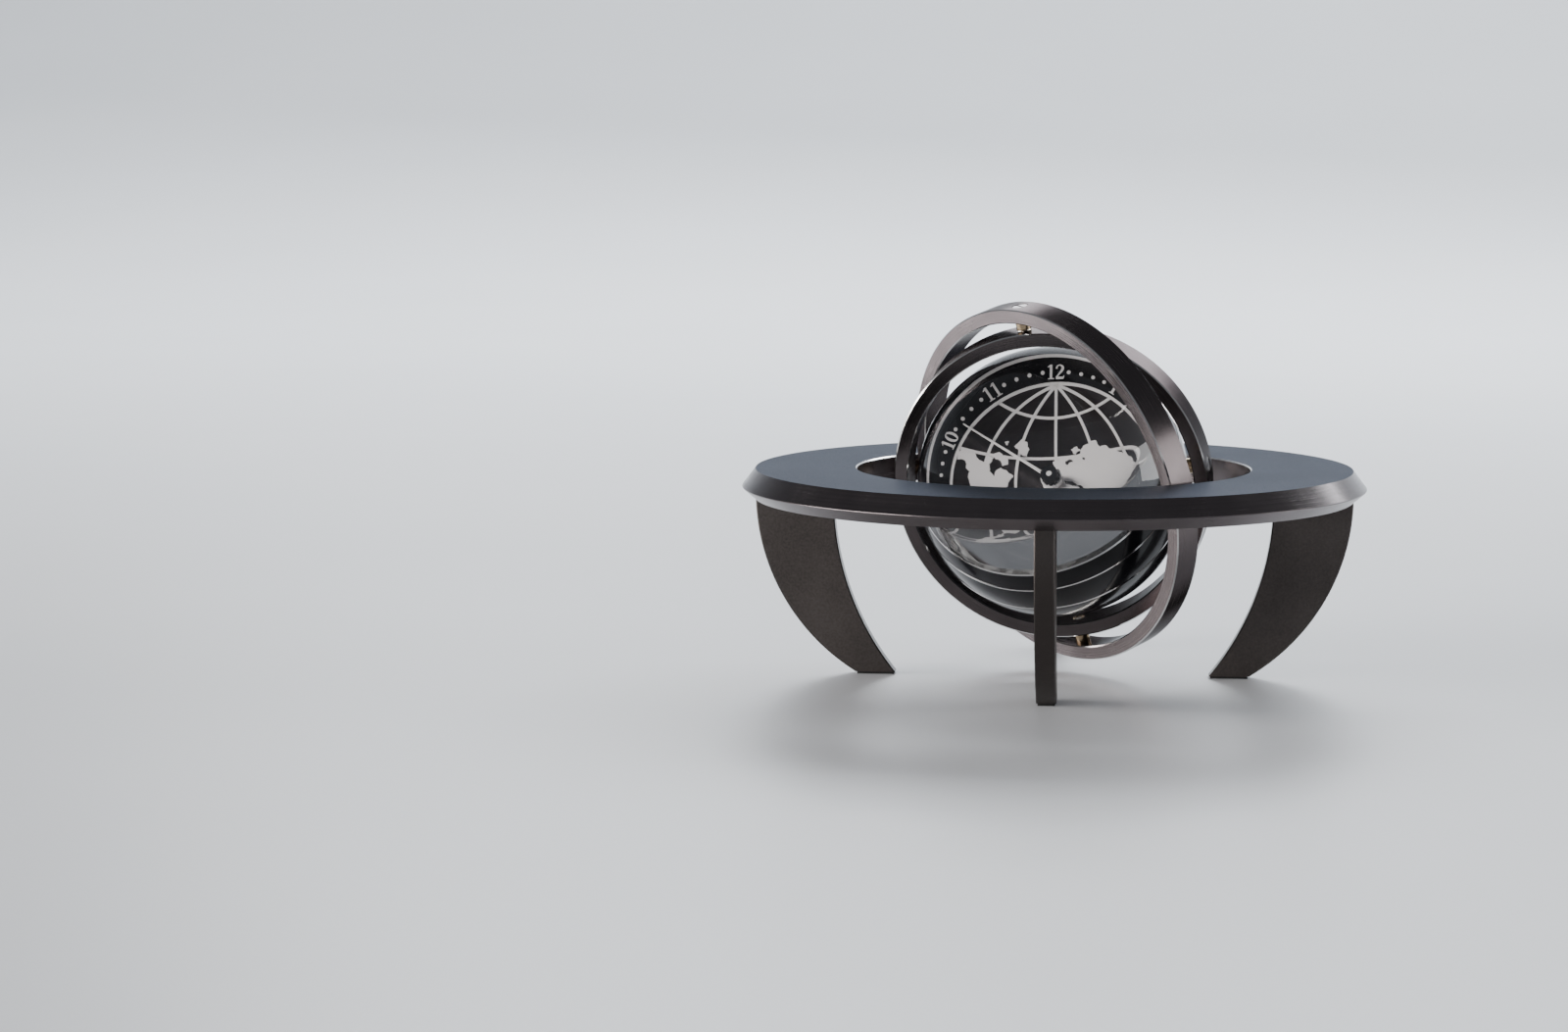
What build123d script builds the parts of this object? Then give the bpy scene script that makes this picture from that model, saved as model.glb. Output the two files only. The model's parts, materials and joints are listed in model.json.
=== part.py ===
from build123d import *
import os
from math import cos, radians, sin, sqrt

# Gimballed globe desk clock, millimetres, +Z up.
# Origin: on the table surface, under the centre of the ring, with the front leg towards -Y.

os.makedirs("parts", exist_ok=True)

# ---------------------------------------------------------------- driving dimensions
# Stand
RING_OUTER_R = 80.0
RING_HOLE_R = 50.5
RING_TOP = 54.0
RING_BOTTOM = 46.5
RING_WAIST = 49.5          # height of the ring's widest edge, between its two chamfers
RING_WAIST_LAND = 0.2
RING_TOP_R = 76.6          # where the top face meets the upper chamfer
RING_BOTTOM_R = 76.7
EDGE_BREAK = 0.3
OVERCUT = 1.0              # how far a cutting shape runs past the face that it cuts

LEG_THICKNESS = 5.0
LEG_TOP_INNER_R = 56.4
LEG_TOP_OUTER_R = 76.7
LEG_FOOT_INNER_R = 40.4
LEG_FOOT_OUTER_R = 50.7
LEG_OUTER_ARC = (22.1, 47.1, 54.6)     # centre radius, centre height, arc radius
LEG_INNER_ARC = (-7.7, 44.3, 64.1)
LEG_MID_HEIGHT = 18.6      # where the two arcs are pinned between foot and ring
PAD_HEIGHT = 0.6
PAD_MARGIN = 0.4
STUD_R = 1.5
STUD_PLACES = (62.0, 71.0)
STUD_REACH = 5.0           # into the ring, and the same into the leg

# Gimbals: how far each part stands turned from the one that carries it
CENTRE_HEIGHT = (RING_TOP + RING_BOTTOM) / 2
HINGE_AZIMUTH = 45.0       # the table ring's pivots lie between the front and the right leg
OUTER_TILT = 14.8
INNER_TURN = 34.6
BALL_TURN = 49.7

OUTER_RING_R = 47.4
OUTER_RING_THICKNESS = 3.7
OUTER_RING_WIDTH = 7.6
INNER_RING_R = 40.9
INNER_RING_THICKNESS = 3.6
INNER_RING_WIDTH = 9.2

# Pivots, the same on all three axes
PIN_R = 0.9
PIN_RUNNING_CLEARANCE = 0.04
BUSH_R = 1.7
BUSH_EDGE_BREAK = 0.1
COLLAR_R = 1.9
COLLAR_GAP = 0.35          # left between a collar and the part that turns past it
SCREW_HEAD_R = 1.9
SCREW_HEAD_HEIGHT = 1.0
SCREW_HEAD_RECESS = 1.15
SCREW_RECESS_R = 2.05
SLOT_WIDTH = 0.5
SLOT_DEPTH = 0.4
SLOT_TURN = 30.0
PIN_BURIED = 4.5           # length of a ring pivot pin inside the table ring
BALL_PIN_GAP = 0.6         # from the tip of a ball pivot to the parts inside the ball

# Ball. Heights are along the ball's own axis, from its centre towards the glass.
BALL_R = 34.8
GLASS_EDGE = 9.9           # height where the dome leaves the bezel
GLASS_BASE = 4.4           # flat underside of the glass
BEZEL_HEIGHT = 0.5
SEAT_R = 31.4              # bore of the shell that takes the glass and the dial
SEAT_FLOOR = -2.0
CAVITY_R = 29.5
INLAY_PLACES = (3.8, -5.6)
INLAY_WIDTH = 0.5
INLAY_DEPTH = 0.5
INLAY_PROUD = 0.06
SEAT_PLAY = 0.1            # between the bore and what is seated in it
DIAL_TOP = 1.8
DIAL_THICKNESS = 0.8
CHAPTER_INNER_R = 17.8
CHAPTER_OUTER_R = 25.9
CHAPTER_THICKNESS = 0.2
SURROUND_INNER_R = 26.0
GASKET_THICKNESS = 0.3
GASKET_INNER_R = 28.5
CAP_R = 13.2
CAP_THICKNESS = 3.0
COIN_SLOT = (14.0, 1.6, 1.2)           # length, width, depth

# Movement
HOLDER_INNER_R = 18.2
HOLDER_TOP = DIAL_TOP - DIAL_THICKNESS
MOVEMENT_R = 18.0
MOVEMENT_REAR = -8.5
FLANGE_R = 27.0
FLANGE_THICKNESS = 1.2
MOVEMENT_SCREW_CIRCLE = 23.0
MOVEMENT_SCREW_R = 0.8
MOVEMENT_SCREW_HEAD_R = 1.6
MOVEMENT_SCREW_REACH = 1.8
BATTERY_R = 5.8
BATTERY_HEIGHT = 5.4
BATTERY_PLACE = 9.5
WHEEL_R = 4.5
WHEEL_HEIGHT = 4.0
WHEEL_GAP = 0.4
WHEEL_STEM_R = 0.8
WHEEL_STEM_REACH = 2.5
WHEEL_TEETH = 24
WHEEL_NOTCH_R = 0.27

# Hands, turned clockwise from twelve as seen from the front
MINUTE_ANGLE = 308.5
HOUR_ANGLE = 108.0
ARBOR_R = 0.5
PIPE_BORE_R = 0.55
PIPE_R = 0.95
DIAL_HOLE_R = 1.35
HAND_THICKNESS = 0.25
HOUR_HAND_HEIGHT = 2.3
HOUR_HAND_LENGTH = 11.5
HOUR_HAND_WIDTHS = (0.8, 0.3)          # at the root and at the tip
MINUTE_HAND_HEIGHT = 2.9
MINUTE_HAND_LENGTH = 18.3
MINUTE_HAND_WIDTHS = (0.45, 0.12)
HAND_BOSS_R = 1.85
NUT_R = 1.6
NUT_HEIGHT = 0.6
NUT_TEETH = 10
NUT_NOTCH_R = 0.24
ARBOR_REACH = 2.5          # how deep the arbor and the pipe run in the movement

# ---------------------------------------------------------------- axes of the gimbals
centre = Vector(0, 0, CENTRE_HEIGHT)
hinge_axis = Vector(cos(radians(HINGE_AZIMUTH)), -sin(radians(HINGE_AZIMUTH)), 0)
facing = Vector(-sin(radians(HINGE_AZIMUTH)), -cos(radians(HINGE_AZIMUTH)), 0)
origin = Vector(0, 0, 0)

outer_normal = facing.rotate(Axis(origin, hinge_axis), OUTER_TILT)
outer_axis = Vector(0, 0, 1).rotate(Axis(origin, hinge_axis), OUTER_TILT)
inner_normal = outer_normal.rotate(Axis(origin, outer_axis), INNER_TURN)
inner_axis = hinge_axis.rotate(Axis(origin, outer_axis), INNER_TURN)
ball_normal = inner_normal.rotate(Axis(origin, inner_axis), -BALL_TURN)

outer_plane = Plane(centre, x_dir=hinge_axis, z_dir=outer_normal)
inner_plane = Plane(centre, x_dir=inner_axis, z_dir=inner_normal)
ball_plane = Plane(centre, x_dir=inner_axis, z_dir=ball_normal)
ball_section = Plane(centre, x_dir=inner_axis, z_dir=inner_axis.cross(ball_normal))
ball_spin = Axis(centre, ball_normal)

hinge_line = Plane(centre, z_dir=hinge_axis)
outer_line = Plane(centre, z_dir=outer_axis)
inner_line = Plane(centre, z_dir=inner_axis)


def sphere_width(height, radius=BALL_R):
    """Radius of the circle that a plane cuts from the ball at a height along its axis."""
    return sqrt(radius**2 - height**2)


def on_sphere(height, radius=BALL_R):
    """Point of the ball's half section at a height along its axis."""
    return (sphere_width(height, radius), height)


def finish(piece, name):
    """Label a finished piece and write it as its own STEP file."""
    piece.part.label = name
    export_step(piece.part, f"parts/{name}.step")


# ---------------------------------------------------------------- stand
def radial_plane(azimuth):
    """Upright plane through the middle of the stand: local x is outwards, local y is up."""
    a = radians(azimuth)
    return Plane((0, 0, 0), x_dir=(cos(a), sin(a), 0), z_dir=(sin(a), -cos(a), 0))


LEGS = {"leg_right": 0, "leg_back": 90, "leg_left": 180, "leg_front": 270}

with BuildPart() as table_ring:
    with BuildSketch(Plane.XZ) as ring_section:
        with BuildLine():
            Polyline(
                (RING_HOLE_R, RING_BOTTOM + EDGE_BREAK),
                (RING_HOLE_R + EDGE_BREAK, RING_BOTTOM),
                (RING_BOTTOM_R, RING_BOTTOM),
                (RING_OUTER_R, RING_WAIST - RING_WAIST_LAND),
                (RING_OUTER_R, RING_WAIST),
                (RING_TOP_R, RING_TOP),
                (RING_HOLE_R + EDGE_BREAK, RING_TOP),
                (RING_HOLE_R, RING_TOP - EDGE_BREAK),
                close=True,
            )
        make_face()
    revolve(axis=Axis.Z)
    with BuildSketch(Plane.XY.offset(RING_BOTTOM)):
        for place in STUD_PLACES:
            with PolarLocations(place, len(LEGS)):
                Circle(STUD_R)
    extrude(amount=STUD_REACH, mode=Mode.SUBTRACT)
    with Locations(hinge_line):
        Cylinder(PIN_R, 2 * (RING_HOLE_R + PIN_BURIED), mode=Mode.SUBTRACT)
finish(table_ring, "table_ring")


def arc_radius(arc, height):
    """Distance from the middle of the stand to a leg's arc at a height."""
    arc_centre_r, arc_centre_z, arc_r = arc
    return arc_centre_r + sqrt(arc_r**2 - (height - arc_centre_z) ** 2)


for name, azimuth in LEGS.items():
    with BuildPart() as leg:
        with BuildSketch(radial_plane(azimuth)) as crescent:
            with BuildLine():
                ThreePointArc(
                    (LEG_TOP_INNER_R, RING_BOTTOM),
                    (arc_radius(LEG_INNER_ARC, LEG_MID_HEIGHT), LEG_MID_HEIGHT),
                    (LEG_FOOT_INNER_R, PAD_HEIGHT),
                )
                Line((LEG_FOOT_INNER_R, PAD_HEIGHT), (LEG_FOOT_OUTER_R, PAD_HEIGHT))
                ThreePointArc(
                    (LEG_FOOT_OUTER_R, PAD_HEIGHT),
                    (arc_radius(LEG_OUTER_ARC, LEG_MID_HEIGHT), LEG_MID_HEIGHT),
                    (LEG_TOP_OUTER_R, RING_BOTTOM),
                )
                Line((LEG_TOP_OUTER_R, RING_BOTTOM), (LEG_TOP_INNER_R, RING_BOTTOM))
            make_face()
        extrude(amount=LEG_THICKNESS / 2, both=True)
        rim = leg.edges().filter_by(GeomType.CIRCLE)
        chamfer(rim, length=EDGE_BREAK)
        with BuildSketch(Plane.XY.offset(RING_BOTTOM)):
            for place in STUD_PLACES:
                with Locations(radial_plane(azimuth).from_local_coords((place, 0, 0))):
                    Circle(STUD_R)
        extrude(amount=-STUD_REACH, mode=Mode.SUBTRACT)
    finish(leg, name)

with BuildPart() as leg_studs:
    with BuildSketch(Plane.XY.offset(RING_BOTTOM)):
        for place in STUD_PLACES:
            with PolarLocations(place, len(LEGS)):
                Circle(STUD_R)
    extrude(amount=STUD_REACH, both=True)
finish(leg_studs, "leg_studs")

with BuildPart() as foot_pads:
    with BuildSketch(Plane.XY):
        with PolarLocations((LEG_FOOT_INNER_R + LEG_FOOT_OUTER_R) / 2, len(LEGS)):
            Rectangle(
                LEG_FOOT_OUTER_R - LEG_FOOT_INNER_R - 2 * PAD_MARGIN,
                LEG_THICKNESS - 2 * PAD_MARGIN,
            )
    extrude(amount=PAD_HEIGHT)
finish(foot_pads, "foot_pads")


# ---------------------------------------------------------------- pivots
def pair(line, radius, inner_end, outer_end, mode=Mode.ADD):
    """Add or cut two equal round pieces on a pivot line, one on each side of the ball."""
    middle = (inner_end + outer_end) / 2
    with Locations(line.offset(middle), line.offset(-middle)):
        Cylinder(radius, outer_end - inner_end, mode=mode)


def flat_against(radius):
    """Distance from the centre to a bore of this radius, measured at a collar's rim."""
    return sqrt(radius**2 - COLLAR_R**2)


def pivot_screws(line, carrier_r, tip):
    """Two slotted screws, sunk in the outside of a ring, with their tips pointing inwards."""
    head_bottom = carrier_r - SCREW_HEAD_RECESS
    head_top = head_bottom + SCREW_HEAD_HEIGHT
    with BuildPart() as screws:
        pair(line, PIN_R, tip, head_bottom)
        pair(line, SCREW_HEAD_R, head_bottom, head_top)
        slot_middle = head_top - SLOT_DEPTH / 2
        with Locations(line.offset(slot_middle), line.offset(-slot_middle)):
            Box(3 * SCREW_HEAD_R, SLOT_WIDTH, SLOT_DEPTH, rotation=(0, 0, SLOT_TURN), mode=Mode.SUBTRACT)
    return screws


def collars(line, inner_end, outer_end):
    """Two spacer collars on a pivot line, fixed to the pins that they sit on."""
    with BuildPart() as rings:
        pair(line, COLLAR_R, inner_end, outer_end)
        pair(line, PIN_R, inner_end, outer_end, Mode.SUBTRACT)
    return rings


def bushes(line, inner_end, outer_end):
    """Two plain bearing bushes, pressed in their ring, with running clearance round the pin."""
    with BuildPart() as rings:
        pair(line, BUSH_R, inner_end, outer_end)
        pair(line, PIN_R + PIN_RUNNING_CLEARANCE, inner_end, outer_end, Mode.SUBTRACT)
        rims = rings.edges().filter_by(GeomType.CIRCLE)
        chamfer(rims.filter_by(lambda rim: rim.radius > (PIN_R + BUSH_R) / 2), length=BUSH_EDGE_BREAK)
    return rings


def gimbal_ring(plane, outer_r, thickness, width, bush_line, screw_line):
    """A flat-sided ring with bush holes on one diameter and sunk screw holes on the other."""
    inner_r = outer_r - thickness
    with BuildPart() as ring:
        with BuildSketch(plane.offset(-width / 2)):
            Circle(outer_r)
            Circle(inner_r, mode=Mode.SUBTRACT)
        extrude(amount=width)
        chamfer(ring.edges().filter_by(GeomType.CIRCLE), length=EDGE_BREAK)
        pair(bush_line, BUSH_R, inner_r - OVERCUT, outer_r + OVERCUT, Mode.SUBTRACT)
        pair(screw_line, PIN_R, inner_r - OVERCUT, outer_r + OVERCUT, Mode.SUBTRACT)
        pair(screw_line, SCREW_RECESS_R, outer_r - SCREW_HEAD_RECESS, outer_r + OVERCUT, Mode.SUBTRACT)
    return ring


OUTER_BORE_R = OUTER_RING_R - OUTER_RING_THICKNESS
INNER_BORE_R = INNER_RING_R - INNER_RING_THICKNESS
END_SET_BACK = 0.2         # how far bushes and pin tips stop short of the faces around them

# Table ring to outer gimbal
with BuildPart() as ring_pivot_pins:
    pair(hinge_line, PIN_R, OUTER_BORE_R + END_SET_BACK, RING_HOLE_R + PIN_BURIED)
finish(ring_pivot_pins, "ring_pivot_pins")

ring_pivot_collars = collars(hinge_line, OUTER_RING_R + COLLAR_GAP, flat_against(RING_HOLE_R))
finish(ring_pivot_collars, "ring_pivot_collars")

outer_gimbal_ring = gimbal_ring(
    outer_plane, OUTER_RING_R, OUTER_RING_THICKNESS, OUTER_RING_WIDTH, hinge_line, outer_line
)
finish(outer_gimbal_ring, "outer_gimbal_ring")

outer_ring_bushes = bushes(hinge_line, OUTER_BORE_R + END_SET_BACK / 2, OUTER_RING_R - END_SET_BACK / 2)
finish(outer_ring_bushes, "outer_ring_bushes")

# Outer gimbal to inner gimbal
outer_pivot_screws = pivot_screws(outer_line, OUTER_RING_R, INNER_BORE_R + END_SET_BACK)
finish(outer_pivot_screws, "outer_pivot_screws")

outer_pivot_collars = collars(outer_line, INNER_RING_R + COLLAR_GAP, flat_against(OUTER_BORE_R))
finish(outer_pivot_collars, "outer_pivot_collars")

inner_gimbal_ring = gimbal_ring(
    inner_plane, INNER_RING_R, INNER_RING_THICKNESS, INNER_RING_WIDTH, outer_line, inner_line
)
finish(inner_gimbal_ring, "inner_gimbal_ring")

inner_ring_bushes = bushes(outer_line, INNER_BORE_R + END_SET_BACK / 2, INNER_RING_R - END_SET_BACK / 2)
finish(inner_ring_bushes, "inner_ring_bushes")

# Inner gimbal to ball
inner_pivot_screws = pivot_screws(inner_line, INNER_RING_R, SEAT_R + BALL_PIN_GAP)
finish(inner_pivot_screws, "inner_pivot_screws")

inner_pivot_collars = collars(inner_line, BALL_R + COLLAR_GAP, flat_against(INNER_BORE_R))
finish(inner_pivot_collars, "inner_pivot_collars")

ball_bushes = bushes(inner_line, SEAT_R + END_SET_BACK / 2, BALL_R - END_SET_BACK / 2)
finish(ball_bushes, "ball_bushes")


# ---------------------------------------------------------------- ball
def turned_ring(inner_r, outer_r, low, high):
    """A plain ring about the ball's axis between two heights."""
    with BuildPart() as ring:
        with BuildSketch(ball_plane.offset(low)):
            Circle(outer_r)
            Circle(inner_r, mode=Mode.SUBTRACT)
        extrude(amount=high - low)
    return ring


SHELL_LIP = GLASS_EDGE - BEZEL_HEIGHT
CAVITY_FLOOR = -sphere_width(CAVITY_R, SEAT_R)
CAP_RIM_INSIDE = -sphere_width(CAP_R, SEAT_R)
CAP_RIM_OUTSIDE = -sphere_width(CAP_R)


def inlay_section(height, proud, mode=Mode.ADD):
    """Half section of a line let into the shell, from its floor to a little proud of the ball."""
    with Locations((sphere_width(height) + (proud - INLAY_DEPTH) / 2, height)):
        Rectangle(INLAY_DEPTH + proud, INLAY_WIDTH, mode=mode)


with BuildPart() as rear_shell:
    with BuildSketch(ball_section):
        with BuildLine():
            Polyline(
                (CAP_R, CAP_RIM_OUTSIDE),
                (CAP_R, CAP_RIM_INSIDE),
            )
            ThreePointArc(
                (CAP_R, CAP_RIM_INSIDE),
                on_sphere((CAP_RIM_INSIDE + CAVITY_FLOOR) / 2, SEAT_R),
                (CAVITY_R, CAVITY_FLOOR),
            )
            Polyline(
                (CAVITY_R, CAVITY_FLOOR),
                (CAVITY_R, SEAT_FLOOR),
                (SEAT_R, SEAT_FLOOR),
                (SEAT_R, SHELL_LIP),
                on_sphere(SHELL_LIP),
            )
            ThreePointArc(
                on_sphere(SHELL_LIP),
                on_sphere((SHELL_LIP + CAP_RIM_OUTSIDE) / 2),
                (CAP_R, CAP_RIM_OUTSIDE),
            )
        make_face()
        for height in INLAY_PLACES:
            inlay_section(height, OVERCUT, Mode.SUBTRACT)
    revolve(axis=ball_spin)
    pair(inner_line, BUSH_R, SEAT_R - OVERCUT, BALL_R + OVERCUT, Mode.SUBTRACT)
finish(rear_shell, "rear_shell")

with BuildPart() as shell_inlays:
    with BuildSketch(ball_section):
        for height in INLAY_PLACES:
            inlay_section(height, INLAY_PROUD)
    revolve(axis=ball_spin)
finish(shell_inlays, "shell_inlays")

with BuildPart() as bezel_ring:
    with BuildSketch(ball_section):
        with BuildLine():
            Polyline(
                (SEAT_R, SHELL_LIP),
                (sphere_width(SHELL_LIP) + INLAY_PROUD, SHELL_LIP),
                (sphere_width(GLASS_EDGE) + INLAY_PROUD, GLASS_EDGE),
                (SEAT_R, GLASS_EDGE),
                close=True,
            )
        make_face()
    revolve(axis=ball_spin)
finish(bezel_ring, "bezel_ring")

# The dome is cut from a whole sphere whose poles lie on the pivot line, clear of the glass.
with BuildPart() as glass_dome:
    with Locations(Plane(centre, x_dir=-ball_normal, z_dir=inner_axis)):
        Sphere(BALL_R)
    split(bisect_by=ball_plane.offset(GLASS_EDGE), keep=Keep.TOP)
    with BuildSketch(ball_plane.offset(GLASS_BASE)):
        Circle(SEAT_R - SEAT_PLAY)
    extrude(amount=GLASS_EDGE - GLASS_BASE)
finish(glass_dome, "glass_dome")

SURROUND_TOP = GLASS_BASE - GASKET_THICKNESS

glass_gasket = turned_ring(GASKET_INNER_R, SEAT_R - SEAT_PLAY, SURROUND_TOP, GLASS_BASE)
finish(glass_gasket, "glass_gasket")

dial_surround = turned_ring(SURROUND_INNER_R, SEAT_R - SEAT_PLAY, DIAL_TOP, SURROUND_TOP)
finish(dial_surround, "dial_surround")

dial_plate = turned_ring(DIAL_HOLE_R, SEAT_R - SEAT_PLAY, DIAL_TOP - DIAL_THICKNESS, DIAL_TOP)
finish(dial_plate, "dial_plate")

chapter_ring = turned_ring(CHAPTER_INNER_R, CHAPTER_OUTER_R, DIAL_TOP, DIAL_TOP + CHAPTER_THICKNESS)
finish(chapter_ring, "chapter_ring")

with BuildPart() as rear_cap:
    with BuildSketch(ball_section):
        with BuildLine():
            Polyline(
                (CAP_R, CAP_RIM_OUTSIDE),
                (CAP_R, CAP_RIM_OUTSIDE + CAP_THICKNESS),
                (0, CAP_RIM_OUTSIDE + CAP_THICKNESS),
                (0, -BALL_R),
            )
            ThreePointArc(
                (0, -BALL_R),
                on_sphere((CAP_RIM_OUTSIDE - BALL_R) / 2),
                (CAP_R, CAP_RIM_OUTSIDE),
            )
        make_face()
    revolve(axis=ball_spin)
    slot_length, slot_width, slot_depth = COIN_SLOT
    with BuildSketch(ball_plane.offset(-BALL_R)):
        Rectangle(slot_length, slot_width)
    extrude(amount=slot_depth, mode=Mode.SUBTRACT)
finish(rear_cap, "rear_cap")


# ---------------------------------------------------------------- movement
FLANGE_TOP = SEAT_FLOOR
FLANGE_REAR = FLANGE_TOP - FLANGE_THICKNESS
SCREW_DIRECTIONS = 3

with BuildPart() as movement_holder:
    with BuildSketch(ball_plane.offset(SEAT_FLOOR)):
        Circle(SEAT_R - SEAT_PLAY)
        Circle(HOLDER_INNER_R, mode=Mode.SUBTRACT)
    extrude(amount=HOLDER_TOP - SEAT_FLOOR)
    with BuildSketch(ball_plane.offset(SEAT_FLOOR)):
        with PolarLocations(MOVEMENT_SCREW_CIRCLE, SCREW_DIRECTIONS):
            Circle(MOVEMENT_SCREW_R)
    extrude(amount=MOVEMENT_SCREW_REACH, mode=Mode.SUBTRACT)
finish(movement_holder, "movement_holder")

with BuildPart() as movement_case:
    with BuildSketch(ball_plane.offset(MOVEMENT_REAR)):
        Circle(MOVEMENT_R)
    extrude(amount=HOLDER_TOP - MOVEMENT_REAR)
    with BuildSketch(ball_plane.offset(FLANGE_REAR)):
        Circle(FLANGE_R)
    extrude(amount=FLANGE_THICKNESS)
    with BuildSketch(ball_plane.offset(FLANGE_REAR)):
        with PolarLocations(MOVEMENT_SCREW_CIRCLE, SCREW_DIRECTIONS):
            Circle(MOVEMENT_SCREW_R)
    extrude(amount=FLANGE_THICKNESS, mode=Mode.SUBTRACT)
    with BuildSketch(ball_plane.offset(HOLDER_TOP)):
        Circle(PIPE_R + PIN_RUNNING_CLEARANCE)
    extrude(amount=-2 * ARBOR_REACH, mode=Mode.SUBTRACT)
    with BuildSketch(ball_plane.offset(MOVEMENT_REAR)):
        with Locations((BATTERY_PLACE, 0)):
            Circle(BATTERY_R)
    extrude(amount=BATTERY_HEIGHT, mode=Mode.SUBTRACT)
    with BuildSketch(ball_plane.offset(MOVEMENT_REAR)):
        with Locations((-BATTERY_PLACE, 0)):
            Circle(WHEEL_STEM_R + PIN_RUNNING_CLEARANCE)
    extrude(amount=WHEEL_STEM_REACH + WHEEL_GAP, mode=Mode.SUBTRACT)
finish(movement_case, "movement_case")

with BuildPart() as movement_screws:
    with BuildSketch(ball_plane.offset(FLANGE_REAR)):
        with PolarLocations(MOVEMENT_SCREW_CIRCLE, SCREW_DIRECTIONS):
            Circle(MOVEMENT_SCREW_R)
    extrude(amount=FLANGE_THICKNESS + MOVEMENT_SCREW_REACH)
    with BuildSketch(ball_plane.offset(FLANGE_REAR)):
        with PolarLocations(MOVEMENT_SCREW_CIRCLE, SCREW_DIRECTIONS):
            Circle(MOVEMENT_SCREW_HEAD_R)
    extrude(amount=-SCREW_HEAD_HEIGHT)
finish(movement_screws, "movement_screws")

with BuildPart() as battery:
    with BuildSketch(ball_plane.offset(MOVEMENT_REAR)):
        with Locations((BATTERY_PLACE, 0)):
            Circle(BATTERY_R)
    extrude(amount=BATTERY_HEIGHT)
    chamfer(battery.edges().filter_by(GeomType.CIRCLE), length=EDGE_BREAK)
finish(battery, "battery")

with BuildPart() as setting_wheel:
    with BuildSketch(ball_plane.offset(MOVEMENT_REAR - WHEEL_GAP)):
        with Locations((-BATTERY_PLACE, 0)):
            Circle(WHEEL_R)
            with PolarLocations(WHEEL_R, WHEEL_TEETH):
                Circle(WHEEL_NOTCH_R, mode=Mode.SUBTRACT)
    extrude(amount=-WHEEL_HEIGHT)
    with BuildSketch(ball_plane.offset(MOVEMENT_REAR - WHEEL_GAP)):
        with Locations((-BATTERY_PLACE, 0)):
            Circle(WHEEL_STEM_R)
    extrude(amount=WHEEL_GAP + WHEEL_STEM_REACH)
finish(setting_wheel, "setting_wheel")


# ---------------------------------------------------------------- hands
def hand_plane(height, clockwise):
    """Plane across the ball's axis whose local y points along a hand."""
    across = inner_axis.rotate(Axis(origin, ball_normal), -clockwise)
    return Plane(centre + ball_normal * height, x_dir=across, z_dir=ball_normal)


def tapered_hand(height, clockwise, length, widths, bore_r):
    """A slim tapered hand with a round boss; widths are at its root and its tip."""
    root_width, tip_width = widths
    with BuildPart() as hand:
        with BuildSketch(hand_plane(height, clockwise)):
            with BuildLine():
                Polyline(
                    (-root_width / 2, 0),
                    (-tip_width / 2, length),
                    (tip_width / 2, length),
                    (root_width / 2, 0),
                    close=True,
                )
            make_face()
            Circle(HAND_BOSS_R)
            Circle(bore_r, mode=Mode.SUBTRACT)
        extrude(amount=HAND_THICKNESS)
    return hand


hour_hand = tapered_hand(HOUR_HAND_HEIGHT, HOUR_ANGLE, HOUR_HAND_LENGTH, HOUR_HAND_WIDTHS, PIPE_R)
finish(hour_hand, "hour_hand")

hour_pipe = turned_ring(
    PIPE_BORE_R, PIPE_R, HOLDER_TOP - ARBOR_REACH, HOUR_HAND_HEIGHT + HAND_THICKNESS
)
finish(hour_pipe, "hour_pipe")

minute_hand = tapered_hand(
    MINUTE_HAND_HEIGHT, MINUTE_ANGLE, MINUTE_HAND_LENGTH, MINUTE_HAND_WIDTHS, ARBOR_R
)
finish(minute_hand, "minute_hand")

NUT_TOP = MINUTE_HAND_HEIGHT + HAND_THICKNESS + NUT_HEIGHT

with BuildPart() as minute_arbor:
    with BuildSketch(ball_plane.offset(HOLDER_TOP - ARBOR_REACH)):
        Circle(ARBOR_R)
    extrude(amount=NUT_TOP - HOLDER_TOP + ARBOR_REACH)
finish(minute_arbor, "minute_arbor")

with BuildPart() as hand_nut:
    with BuildSketch(ball_plane.offset(MINUTE_HAND_HEIGHT + HAND_THICKNESS)):
        Circle(NUT_R)
        with PolarLocations(NUT_R, NUT_TEETH):
            Circle(NUT_NOTCH_R, mode=Mode.SUBTRACT)
        Circle(ARBOR_R, mode=Mode.SUBTRACT)
    extrude(amount=NUT_HEIGHT)
finish(hand_nut, "hand_nut")
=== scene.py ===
import json
import math
import random

import bpy
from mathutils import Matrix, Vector


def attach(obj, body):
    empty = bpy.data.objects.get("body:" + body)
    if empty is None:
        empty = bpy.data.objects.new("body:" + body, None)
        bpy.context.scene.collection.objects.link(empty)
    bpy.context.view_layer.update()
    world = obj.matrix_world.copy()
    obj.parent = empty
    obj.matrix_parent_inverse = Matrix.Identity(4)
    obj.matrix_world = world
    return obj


# Looks of the gimballed globe desk clock: metals, glass, the printed dial, the studio.
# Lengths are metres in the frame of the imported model; MM turns the dial's millimetres into them.
MM = 0.001

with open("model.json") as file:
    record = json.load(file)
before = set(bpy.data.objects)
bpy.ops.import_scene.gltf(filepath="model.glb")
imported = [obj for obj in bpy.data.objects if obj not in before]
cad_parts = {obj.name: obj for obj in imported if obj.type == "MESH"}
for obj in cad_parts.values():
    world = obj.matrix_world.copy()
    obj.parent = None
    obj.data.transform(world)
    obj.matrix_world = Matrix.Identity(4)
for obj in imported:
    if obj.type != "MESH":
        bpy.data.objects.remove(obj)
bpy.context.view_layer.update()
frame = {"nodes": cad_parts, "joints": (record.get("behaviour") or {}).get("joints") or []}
nodes = frame["nodes"]

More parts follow.
